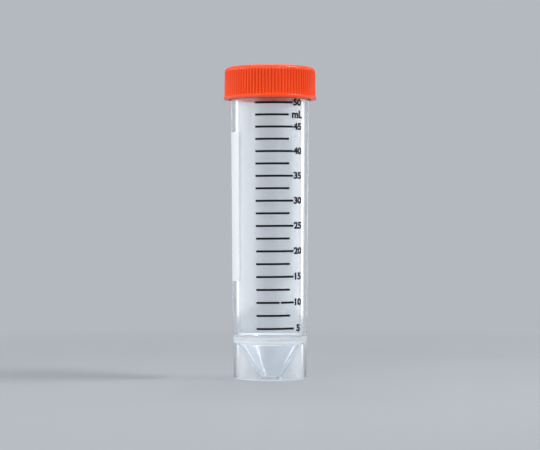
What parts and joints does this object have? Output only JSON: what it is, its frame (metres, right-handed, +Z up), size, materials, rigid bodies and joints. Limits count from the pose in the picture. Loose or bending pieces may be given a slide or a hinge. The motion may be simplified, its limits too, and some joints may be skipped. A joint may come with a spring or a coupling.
{
  "type": "conical tube with screw cap",
  "caption": "Self-standing clear conical tube with a support skirt, a printed volume scale and a ribbed orange screw cap.",
  "frame": {"origin": "centre of the tube's foot ring, on the surface it stands on", "axes": "+Z up along the tube's axis towards the cap, -Y towards the side with the volume scale, +X to the right of a viewer who reads the scale"},
  "size_m": [0.0352, 0.0352, 0.1171],
  "materials": {
    "clear_plastic": "clear natural polypropylene, smooth, very slightly cloudy",
    "orange_plastic": "orange polyethylene, satin, moulded",
    "scale_ink": "black printed ink",
    "patch_ink": "white printed writing patch, matt"
  },
  "bodies": {
    "tube": {"tube": "clear_plastic"},
    "cap": {"screw_cap": "orange_plastic"}
  },
  "joints": [
    {"name": "cap_lift", "type": "slide", "parent": "tube", "child": "cap", "axis": [0, 0, 1], "range_m": [0, 0.03]}
  ]
}
